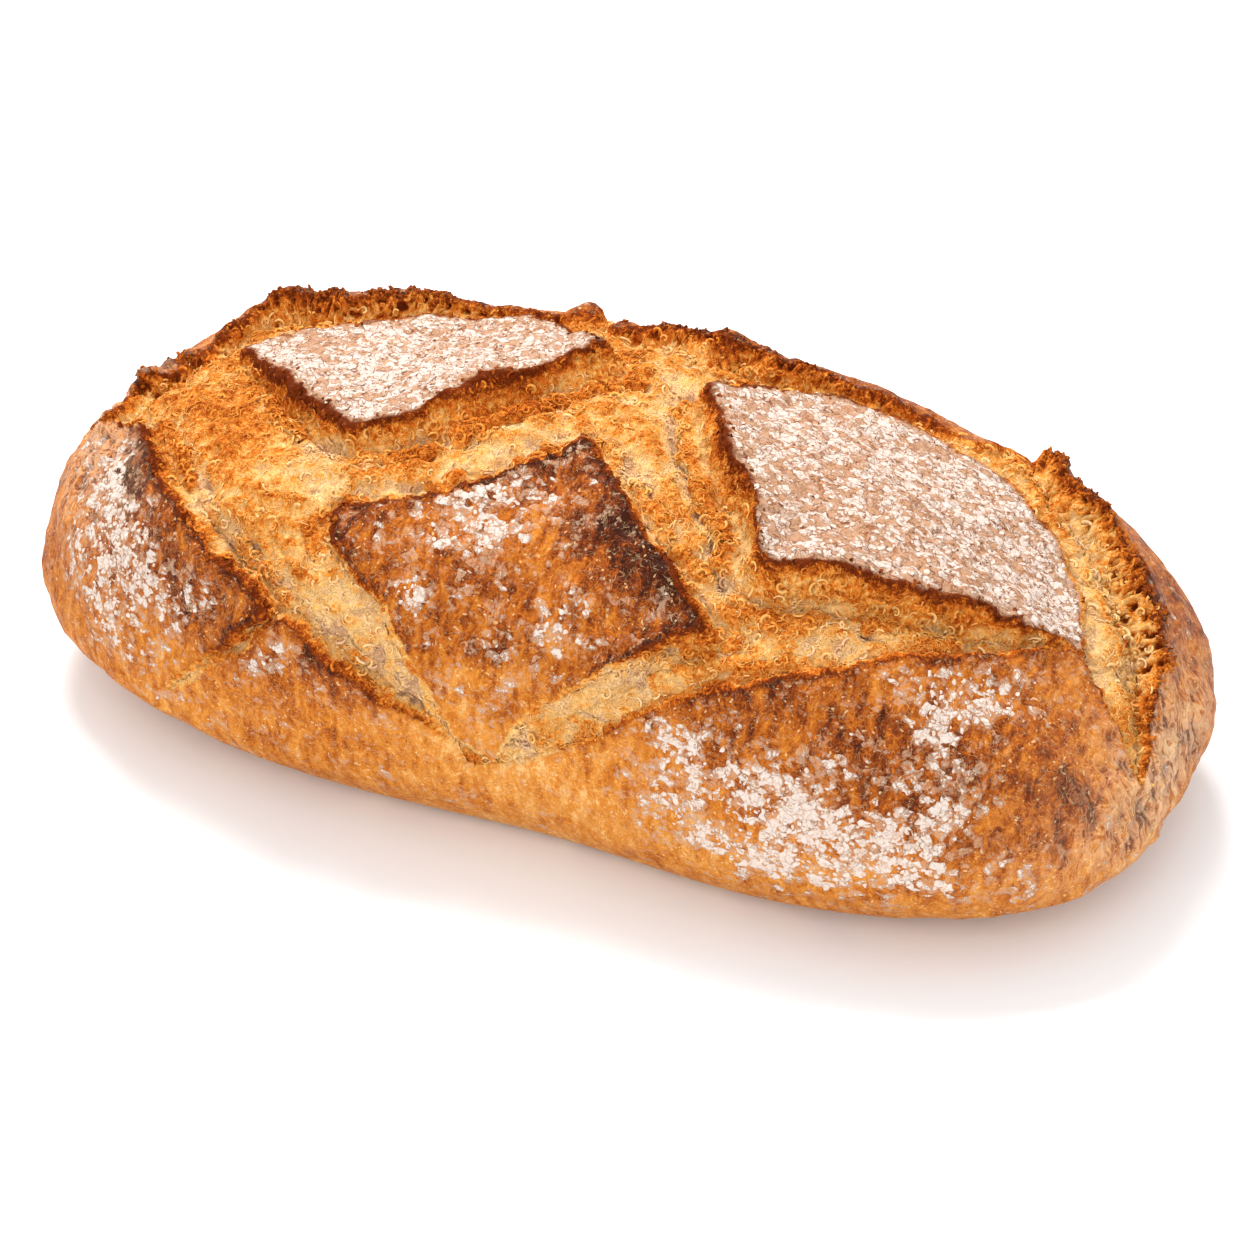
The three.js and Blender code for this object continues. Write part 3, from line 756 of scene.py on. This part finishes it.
skin_finish = bpy.data.materials.new("baked bread")
skin = mesh_object("loaf_skin", *closed_sheet(points, triangles, on_ground), skin_finish)
top = 1 - smoothstep(skin_angle(x, y), 1.45, 1.8)
on_plate = (plate == BACK) | (plate == RIGHT)
near_ledge = np.exp(-(((out - ledge) / 1.2) ** 2))
curly = smoothstep(out, 0.8, 3) * (1 - 0.8 * on_wall) * (1 - 0.95 * crumbly)
attributes = {
    "border": distance, "lift": lift, "dark": dark, "toast": toast, "flour": flour,
    "floury_plate": on_plate.astype(float), "bloom": np.clip(patches(x, y, WRINKLED[:2]), 0, 1),
    "pulled": np.stack([*pulled, 0.3 * points[:, 2]], 1) * MM,
    "curl_density": torn * top * curly * smoothstep(grains, -0.8, 0.6),
    "tatter_density": torn * top * smoothstep(out, 0.5, 2) * (
        0.3 + 0.2 * on_wall + high * near_ledge),
    "crag_density": top * np.exp(-(((distance + 0.1) / 0.7) ** 2)) * (0.15 + crumbly) * high,
    "clump_density": smoothstep(flour, 0.3, 0.8) * ~on_plate * smoothstep(distance, 0.3, 2)
        * (1 - smoothstep(skin_angle(x, y), 1.55, 1.8)),
    "scale_density": on_plate * smoothstep(distance, -0.2, 1),
}
for name, values in attributes.items():
    keep_attribute(skin.data, name, values)

# %% [markdown]
# Shader maths reads best as formulas. A Link stands for an output of a node, and adding or
# multiplying Links adds the Math nodes. Any other node comes from one method, Nodes.add, which
# takes the node's type, its settings, and the values or Links of its sockets. The same two
# classes serve materials and Geometry Nodes.

# %% Formulas that write nodes
class Link:
    """An output of a node, for use in formulas."""

    def __init__(self, nodes, output):
        self.nodes, self.output = nodes, output

    def maths(self, operation, *values):
        values = dict(enumerate(values))
        return self.nodes.add("ShaderNodeMath", {"operation": operation}, values)[0]

    def __add__(self, other):
        return self.maths("ADD", self, other)

    def __sub__(self, other):
        return self.maths("SUBTRACT", self, other)

    def __rsub__(self, other):
        return self.maths("SUBTRACT", other, self)

    def __mul__(self, other):
        return self.maths("MULTIPLY", self, other)

    def __neg__(self):
        return self * -1

    __radd__ = __add__
    __rmul__ = __mul__

    def part(self, number):
        """One channel of a colour."""
        return self.nodes.add("ShaderNodeSeparateColor", {}, {0: self})[number]

    def rising(self, low, high):
        """0 below low and 1 above high, with a smooth rise between them."""
        return self.nodes.add(
            "ShaderNodeMapRange", {"interpolation_type": "SMOOTHSTEP"},
            {"Value": self, "From Min": low, "From Max": high})[0]


class Node:
    """A node whose outputs are taken by name or number."""

    def __init__(self, nodes, node):
        self.nodes, self.node = nodes, node

    def __getitem__(self, output):
        return Link(self.nodes, self.node.outputs[output])


class Nodes:
    """A tree of nodes under construction."""

    def __init__(self, tree):
        self.tree = tree

    def add(self, kind, settings=None, inputs=None):
        node = self.tree.nodes.new(kind)
        for name, value in (settings or {}).items():
            if name == "stops":
                self.set_stops(node.color_ramp, value)
            else:
                setattr(node, name, value)
        for socket, value in (inputs or {}).items():
            self.feed(node.inputs[socket], value)
        return Node(self, node)

    def vector(self, operation, *values):
        values = dict(enumerate(values))
        return self.add("ShaderNodeVectorMath", {"operation": operation}, values)[0]

    def feed(self, socket, value):
        if isinstance(value, Link):
            self.tree.links.new(value.output, socket)
        else:
            socket.default_value = value

    def set_stops(self, ramp, stops):
        while len(ramp.elements) < len(stops):
            ramp.elements.new(1)
        for element, (place, colour) in zip(ramp.elements, stops):
            element.position, element.color = place, (*colour, 1)


# %% [markdown]
# Each finish starts from the same few patterns: noise for soft spots and grain, and cells, bent
# by noise, for flakes and fibres. Sizes are in millimetres.

# %% Patterns for the finishes
def baked(red, green, blue):
    """The linear albedo that looks like this screen colour, 0 to 255, in the studio's light."""
    return tuple(((c / 255 + 0.055) / 1.055) ** 2.4 / LIGHT_LEVEL for c in (red, green, blue))


class Finish(Nodes):
    """A material with one principled shader."""

    def __init__(self, material):
        material.use_nodes = True
        super().__init__(material.node_tree)
        self.tree.nodes.clear()
        self.place = self.add("ShaderNodeTexCoord")["Object"]

    def grain(self, size, detail=3, roughness=0.6, place=None):
        """Noise from 0 to 1, with a mean of a half and spots of about the given size."""
        return self.add("ShaderNodeTexNoise", {}, {
            "Vector": place or self.place, "Scale": 1 / (size * MM), "Detail": detail,
            "Roughness": roughness})

    def fibres(self, size, width=0.05, place=None):
        """Curling lines, 1 along a line and 0 between lines."""
        value = self.add("ShaderNodeTexNoise", {}, {
            "Vector": place or self.place, "Scale": 1 / (size * MM), "Detail": 1,
            "Distortion": 1.2})[0]
        return 1 - value.maths("ABSOLUTE", value - 0.5).rising(0.0, width)

    def bent(self, size, amount, stretch=(1, 1, 1)):
        """Places pushed about by noise, for patterns with no straight lines."""
        push = self.grain(size, 0)["Color"]
        push = self.vector("SUBTRACT", push, (0.5, 0.5, 0.5))
        place = self.vector("MULTIPLY_ADD", push, (amount * MM,) * 3, self.place)
        return self.vector("MULTIPLY", place, stretch)

    def cells(self, size, place, feature="F1"):
        return self.add("ShaderNodeTexVoronoi", {"feature": feature}, {
            "Vector": place, "Scale": 1 / (size * MM)})

    def attribute(self, name, output="Fac"):
        return self.add("ShaderNodeAttribute", {"attribute_name": name})[output]

    def ramp(self, stops, value):
        return self.add("ShaderNodeValToRGB", {"stops": stops}, {0: value})[0]

    def blend(self, first, second, share):
        """Mixes two colours."""
        first, second = (
            colour if isinstance(colour, Link) else (*colour, 1) for colour in (first, second))
        return self.add("ShaderNodeMix", {"data_type": "RGBA"}, {0: share, 6: first, 7: second})[2]

    def bump(self, height, distance):
        return self.add("ShaderNodeBump", {}, {"Height": height, "Distance": distance * MM})[0]

    def surface(self, colour, roughness, normal, shine=0.07):
        shader = self.add("ShaderNodeBsdfPrincipled", {}, {
            "Base Color": colour, "Roughness": roughness, "Normal": normal,
            "Specular IOR Level": shine})[0]
        self.add("ShaderNodeOutputMaterial", {}, {"Surface": shader})


# %% [markdown]
# One finish covers the skin. The border attribute picks crust or crumb, and each takes its colour
# from a ramp, from pale to burnt, with grain of several sizes on top; the crumb ramp starts with a
# greyer beige below its palest stop, which is painted shade for the deepest hollows and pits.
# Fibres run through both: smooth noise draws a thin curling line wherever it crosses its middle
# value. The crust also has streaks, pale flecks and, at the ends, a dull pale bloom with a grain
# like bark, whose raised lines are painted paler as highlights.

# %% The skin's crust
CRUST_COLOURS = [
    (0.0, baked(244, 192, 122)), (0.2, baked(228, 150, 64)), (0.42, baked(208, 122, 38)),
    (0.62, baked(170, 84, 20)), (0.8, baked(116, 48, 12)), (1.0, baked(58, 22, 8)),
]
# The lowest stop is a greyer beige than the next one: painted shade for the deepest hollows and
# pits of the crumb.
CRUMB_COLOURS = [
    (0.0, baked(224, 178, 140)), (0.12, baked(250, 208, 154)), (0.28, baked(254, 208, 142)),
    (0.46, baked(248, 184, 98)), (0.62, baked(236, 144, 50)), (0.8, baked(196, 94, 22)),
    (1.0, baked(112, 44, 10)),
]
THIN_FLOUR, THICK_FLOUR = baked(216, 172, 138), baked(236, 221, 210)
BLOOM_AND_HIGHLIGHT_COLOUR, FLECK_COLOUR = baked(238, 194, 158), baked(246, 206, 150)
STRAND_COLOUR, PORE_SHADE_COLOUR = baked(244, 182, 92), baked(160, 86, 30)
DUSTY_CRUST, CRACK_COLOUR = baked(164, 116, 86), baked(128, 72, 40)

bread = Finish(skin_finish)
spots = bread.grain(8, 3)[0] - 0.5
specks = bread.grain(2.2, 4, 0.65)[0] - 0.5
fine = bread.grain(0.6, 2, 0.7)[0] - 0.5
lines = bread.fibres(3.4) + bread.fibres(1.9)
edge = bread.attribute("border")
lifted = bread.attribute("lift").rising(0.5, 5)

on_crust = (edge + 1.4 * specks).rising(-0.3, 0.2)
burnt_rim = (1 - (edge + 3 * specks).rising(0.0, 0.9)) * lifted
streaks = bread.grain(2.4, 3, 0.6, bread.bent(6, 3, (1, 0.3, 0.3)))[0] - 0.5
darkness = (bread.attribute("dark") + 0.3 * spots + 0.5 * specks + 0.4 * fine + 1.0 * streaks
            + 0.2 * burnt_rim + 0.14 * (0.6 - lines))
bloom = bread.attribute("bloom")
# The bark lines are raised in the bump further down and painted paler here and in the bloom blend
# below: painted highlight on the ridges, over the bloom's own pale colour.
bark = bread.fibres(2.6, 0.16, bread.bent(4, 3, (1, 1, 0.22)))
crust_colour = bread.ramp(CRUST_COLOURS, darkness - 0.5 * bloom * (bark - 0.4))
fleck = bread.cells(1.9, bread.bent(1.5, 1.5))
flecked = (1 - fleck["Distance"].rising(0.12, 0.22)) * fleck["Color"].part(1).rising(0.4, 0.5)
scrolls = bread.fibres(2.3, 0.04) * (0.5 + 3 * specks).rising(0.3, 0.8)
crust_colour = bread.blend(crust_colour, BLOOM_AND_HIGHLIGHT_COLOUR, bloom * (0.2 + 0.6 * bark))
crust_colour = bread.blend(crust_colour, FLECK_COLOUR, 0.65 * flecked + 0.35 * scrolls)

# %% [markdown]
# Crumb is a felt of torn strands. Their lines are drawn in the place called pulled, where the map
# is squeezed towards the rims, so they run away from a rim as if it had torn them. Strands are
# golden where the crumb between them stayed pale, and dark dots of painted shade stand for its
# pores.

# %% The skin's crumb
strands = bread.fibres(1.5, 0.07, bread.attribute("pulled", "Vector"))
tears = bread.grain(1.1, 3, 0.65)[0] - 0.5
seared_edge = (1 - (-edge).rising(0.1, 0.7)) * lifted
toast_and_shade_level = (bread.attribute("toast") + 0.5 * specks + 0.55 * tears + 0.2 * fine + 0.5 * spots
           + 0.14 * (0.6 - lines) + 0.16 * (0.4 - strands) + 0.12 * seared_edge)
crumb_colour = bread.ramp(CRUMB_COLOURS, toast_and_shade_level)
pale = 1 - toast_and_shade_level.rising(0.12, 0.42)
golden = 0.6 * pale * (0.6 * strands + 0.4 * lines)
crumb_colour = bread.blend(crumb_colour, STRAND_COLOUR, golden)
# Dark dots stand for pores; they have no hole in the mesh or the bump, so their darkness is painted
# shade.
pore = bread.cells(2.8, bread.bent(2, 2))
pore_shade = (1 - pore["Distance"].rising(0.1, 0.17)) * pore["Color"].part(1).rising(0.5, 0.6)
crumb_colour = bread.blend(crumb_colour, PORE_SHADE_COLOUR, 0.6 * pore_shade)

# %% [markdown]
# Flour lies in flakes: each cell of a bent pattern is floury or bare, by its own random number
# and by how much flour fell there. On two plates it dried to a skin, which cracked along the
# seams between the cells and along fibres. Flakes and fibres stand out a little, so they feed the
# bump too. A bump works its height out at three places for every point of the picture, so the
# cells that draw cracks and pores are kept out of it, and one bump serves all. Crust is a little
# glossy, and crumb and flour are dull.

# %% The skin's flour, and the whole finish
floury = bread.attribute("floury_plate")
flake_place = bread.bent(2, 2.2, (0.85, 1.2, 1))
flakes = bread.cells(2.2, flake_place)
seams = 1 - bread.cells(2.2, flake_place, "DISTANCE_TO_EDGE")["Distance"].rising(0.02, 0.1)
flake_grain = bread.grain(1.6, 4, 0.65)[0] - 0.5
amount = (bread.attribute("flour") + 0.7 * (flakes["Color"].part(0) - 0.5)
          + flake_grain * (0.9 - 0.3 * floury) + 0.9 * spots
          - 0.25 * (flakes["Distance"] - 0.3) - 0.2 * (lines - 0.5))
thin = (amount + 0.3 * floury).rising(0.25, 0.5)
thick = amount.rising(0.54 - 0.1 * floury, 0.64 + 0.12 * floury)
cracks = 0.8 * seams + bread.fibres(2.4, 0.055, flake_place)
cracked = floury * cracks * (0.55 + 4 * specks).rising(0.1, 0.75)
flaky = on_crust * (0.8 * thick + 0.4 * thin - 1.2 * flakes["Distance"] + 1.5 * streaks)
thin, thick = thin * (1 - 0.6 * cracked), thick * (1 - 0.9 * cracked) * (1 - 0.5 * seams)
crust_colour = bread.blend(crust_colour, DUSTY_CRUST, 0.7 * floury)
crust_colour = bread.blend(crust_colour, CRACK_COLOUR, cracked)
dusted = bread.blend(crust_colour, THIN_FLOUR, 0.62 * thin)
dusted = bread.blend(dusted, THICK_FLOUR, 0.9 * thick)
colour = bread.blend(crumb_colour, dusted, on_crust)

roughness = 0.9 - 0.35 * on_crust * (1 - thin) + 0.4 * specks
grooves = lines * (1 - 0.4 * on_crust) + strands * (1 - on_crust) + 2.5 * bark * bloom
normal = bread.bump(flaky + 1.0 * specks + 0.3 * fine + 0.4 * grooves, 0.32)
bread.surface(colour, roughness, normal)
print("skin's finish:", len(bread.tree.nodes), "nodes")

# %% [markdown]
# The same colours dress the pieces that grow on the skin, which keep the skin's attributes: torn
# crumb, burnt crags on the rims, and clumps and scales of flour. Each finish is grit of one size,
# which varies the colour and feeds the bump, so one function makes all three from a formula for
# the colour.

# %% Finishes for what grows on the skin
def gritty_finish(name, size, roughness, bump_height, colour):
    material = bpy.data.materials.new(name)
    finish = Finish(material)
    grit = finish.grain(size, 4, 0.7)[0] - 0.5
    finish.surface(colour(finish, grit), roughness, finish.bump(grit, bump_height))
    return material


def crumb_shades(finish, grit):
    return finish.ramp(CRUMB_COLOURS, finish.attribute("toast") + 0.9 * grit - 0.06)


def crust_shades(finish, grit):
    return finish.ramp(CRUST_COLOURS, finish.attribute("dark") - 0.06 + 1.2 * grit)


def flour_shades(finish, grit):
    return finish.blend(THIN_FLOUR, THICK_FLOUR, (0.5 + 1.6 * grit).rising(0.1, 0.7))


curl_finish = gritty_finish("crumb curls", 2.5, 0.7, 0.1, crumb_shades)
crag_finish = gritty_finish("burnt crags", 1.5, 0.6, 0.3, crust_shades)
flour_finish = gritty_finish("dry flour", 1.2, 0.95, 0.2, flour_shades)

# %% [markdown]
# Two trees of geometry nodes grow what sticks out of the skin. Both scatter points by a density
# attribute, put a small shape on each, turned and sized at random, and make plain geometry of it.
# The first grows curls, which are short thin spirals of crumb pulled out of the dough, in four
# shapes from a hook to a ring. A thicker profile turns them into rags. The second grows lumps,
# which are flattened balls, pushed out of shape by noise once they are in place.

# %% Trees that grow curls and lumps
SOCKETS = {
    "Geometry": "NodeSocketGeometry", "Density": "NodeSocketString", "Peak": "NodeSocketFloat",
    "Size": "NodeSocketFloat", "Flatness": "NodeSocketFloat", "Tilt": "NodeSocketFloat",
    "Seed": "NodeSocketInt", "Material": "NodeSocketMaterial",
}
CURL_SHAPES = [(0.3, 1.0, 0.3), (0.45, 0.7, 0.4), (0.7, 0.4, 0.3), (0.2, 1.6, 0.1)]
CURL_PROFILE = (1.8, 0.7, 1)
LUMP_WIDTH, LUMP_RAGGEDNESS = 0.7, 2.4


class Growth(Nodes):
    """A geometry nodes tree that puts shapes on points scattered over a skin."""

    def __init__(self, name):
        super().__init__(bpy.data.node_groups.new(name, "GeometryNodeTree"))
        new_socket = self.tree.interface.new_socket
        for socket, kind in SOCKETS.items():
            new_socket(socket, in_out="INPUT", socket_type=kind)
        new_socket("Geometry", in_out="OUTPUT", socket_type="NodeSocketGeometry")
        self.given = self.add("NodeGroupInput")

    def random(self, low, high, seed):
        """A random number for each point."""
        return self.add("FunctionNodeRandomValue", {"data_type": "FLOAT"}, {
            2: low, 3: high, "Seed": self.given["Seed"] + seed})[1]

    def scatter(self, shape, pick=False):
        """Puts a shape, or one of several, on random points of the skin."""
        density = self.add("GeometryNodeInputNamedAttribute", {"data_type": "FLOAT"}, {
            "Name": self.given["Density"]})[0] * self.given["Peak"]
        points = self.add("GeometryNodeDistributePointsOnFaces", {}, {
            "Mesh": self.given["Geometry"], "Density": density, "Seed": self.given["Seed"]})
        tilt = self.given["Tilt"]
        turn = self.add("ShaderNodeCombineXYZ", {}, {
            0: self.random(-1.0, 1.0, 1) * tilt, 1: self.random(-1.0, 1.0, 2) * tilt,
            2: self.random(0.0, math.tau, 3)})[0]
        turn = self.add("FunctionNodeEulerToRotation", {}, {0: turn})[0]
        rotation = self.add("FunctionNodeRotateRotation", {"rotation_space": "LOCAL"}, {
            0: points["Rotation"], 1: turn})[0]
        size = self.random(0.5, 1.5, 4) * self.given["Size"]
        return self.add("GeometryNodeInstanceOnPoints", {}, {
            "Points": points["Points"], "Instance": shape, "Pick Instance": pick,
            "Rotation": rotation, "Scale": size})[0]

    def finish(self, geometry):
        geometry = self.add("GeometryNodeSetMaterial", {}, {
            "Geometry": geometry, "Material": self.given["Material"]})[0]
        self.add("NodeGroupOutput", {}, {0: geometry})


def curl_tree():
    growth = Growth("curls")
    shapes = growth.add("GeometryNodeGeometryToInstance")
    for turns, end_radius, height in CURL_SHAPES:
        spiral = growth.add("GeometryNodeCurveSpiral", {}, {
            "Resolution": round(6 / turns), "Rotations": turns, "Start Radius": 1.0,
            "End Radius": end_radius, "Height": height})[0]
        along = growth.add("GeometryNodeSplineParameter")["Factor"]
        thickness = 0.4 + 2.4 * along * (1 - along)
        spiral = growth.add("GeometryNodeSetCurveRadius", {}, {
            "Curve": spiral, "Radius": thickness})[0]
        profile = growth.add("GeometryNodeCurvePrimitiveCircle", {}, {
            "Resolution": 3, "Radius": growth.given["Flatness"]})[0]
        profile = growth.add("GeometryNodeTransform", {}, {
            "Geometry": profile, "Scale": CURL_PROFILE})[0]
        strand = growth.add("GeometryNodeCurveToMesh", {}, {
            "Curve": spiral, "Profile Curve": profile, "Fill Caps": True})[0]
        growth.tree.links.new(strand.output, shapes.node.inputs[0])
    growth.finish(growth.add("GeometryNodeRealizeInstances", {}, {
        0: growth.scatter(shapes[0], pick=True)})[0])
    return growth.tree


def lump_tree():
    growth = Growth("lumps")
    ball = growth.add("GeometryNodeMeshIcoSphere", {}, {"Radius": 1.0, "Subdivisions": 2})[0]
    flat = growth.add("ShaderNodeCombineXYZ", {}, {
        0: 1.0, 1: LUMP_WIDTH, 2: growth.given["Flatness"]})[0]
    ball = growth.add("GeometryNodeTransform", {}, {"Geometry": ball, "Scale": flat})[0]
    lumps = growth.add("GeometryNodeRealizeInstances", {}, {0: growth.scatter(ball)})[0]
    push = growth.add("ShaderNodeTexNoise", {}, {"Scale": 1 / (1.3 * MM), "Detail": 2})["Color"]
    push = growth.add("ShaderNodeVectorMath", {"operation": "SCALE"}, {
        0: growth.vector("SUBTRACT", push, (0.5, 0.5, 0.5)),
        "Scale": LUMP_RAGGEDNESS * growth.given["Size"]})[0]
    growth.finish(growth.add("GeometryNodeSetPosition", {}, {"Geometry": lumps, "Offset": push})[0])
    return growth.tree


def grow(name, tree, count, density, size, flatness, tilt, seed, material):
    """Grows about the given count of shapes on the skin, as plain geometry."""
    area = np.linalg.norm(face_vectors(points * MM), axis=1) / 2
    total = (area * attributes[density][triangles].mean(1)).sum()
    grown = bpy.data.objects.new(name, skin.data)
    bpy.context.scene.collection.objects.link(grown)
    modifier = grown.modifiers.new(name, "NODES")
    modifier.node_group = tree
    values = {
        "Density": density, "Peak": count / total, "Size": size * MM, "Flatness": flatness,
        "Tilt": math.radians(tilt), "Seed": seed, "Material": material}
    for item in tree.interface.items_tree:
        if item.name in values:
            modifier[item.identifier] = values[item.name]
    ready = grown.evaluated_get(bpy.context.evaluated_depsgraph_get())
    mesh = bpy.data.meshes.new_from_object(ready)
    grown.modifiers.clear()
    grown.data = mesh
    mesh.shade_smooth()
    print(name + ":", sum(len(face.vertices) - 2 for face in mesh.polygons), "triangles")
    return grown


# %% [markdown]
# Thin curls and shorter threads cover the torn crumb, and thicker tatters hang at the ledges under
# the rims. Crags sit on the rims that burnt, and flour lies as clumps on the crust of the sides
# and as thin scales on two plates. Each line gives the tree, about how many shapes, where they
# grow, their size in millimetres, how thick they are for it, their tilt in degrees, a seed and
# their finish.

# %% Curls, crags and flour
CURLS, LUMPS = curl_tree(), lump_tree()
grown = {
    "crumb": [
        grow("crumb_curls", CURLS, 3000, "curl_density", 1.2, 0.055, 10, 1, curl_finish),
        grow("crumb_threads", CURLS, 3600, "curl_density", 0.7, 0.1, 14, 2, curl_finish),
        grow("crumb_tatters", CURLS, 3400, "tatter_density", 1.1, 0.22, 18, 6, curl_finish),
    ],
    "crust": [grow("burnt_crags", LUMPS, 1300, "crag_density", 0.6, 0.5, 60, 3, crag_finish)],
    "flour": [
        grow("flour_clumps", LUMPS, 1000, "clump_density", 0.55, 0.35, 20, 4, flour_finish),
        grow("flour_scales", LUMPS, 900, "scale_density", 0.6, 0.2, 12, 5, flour_finish),
    ],
}

# %% [markdown]
# The camera aims a little beside the loaf's middle, and moves with the shift found above. Then
# every piece rides on the loaf's one body and helps to stand for the solid, which is hidden.

# %% Place the camera and attach the pieces
aim = Vector((0, 0, AIM_HEIGHT)) + rightwards * AIM_RIGHT - upwards * AIM_DOWN
aim += Vector((shift[0], shift[1], 0)) * MM
camera.location = aim + backwards * CAMERA_DISTANCE
camera.rotation_euler = backwards.to_track_quat("Z", "Y").to_euler()

for slot, pieces in [("crust", [skin]), *grown.items()]:
    for piece in pieces:
        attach(piece, "root")
        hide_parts("loaf")
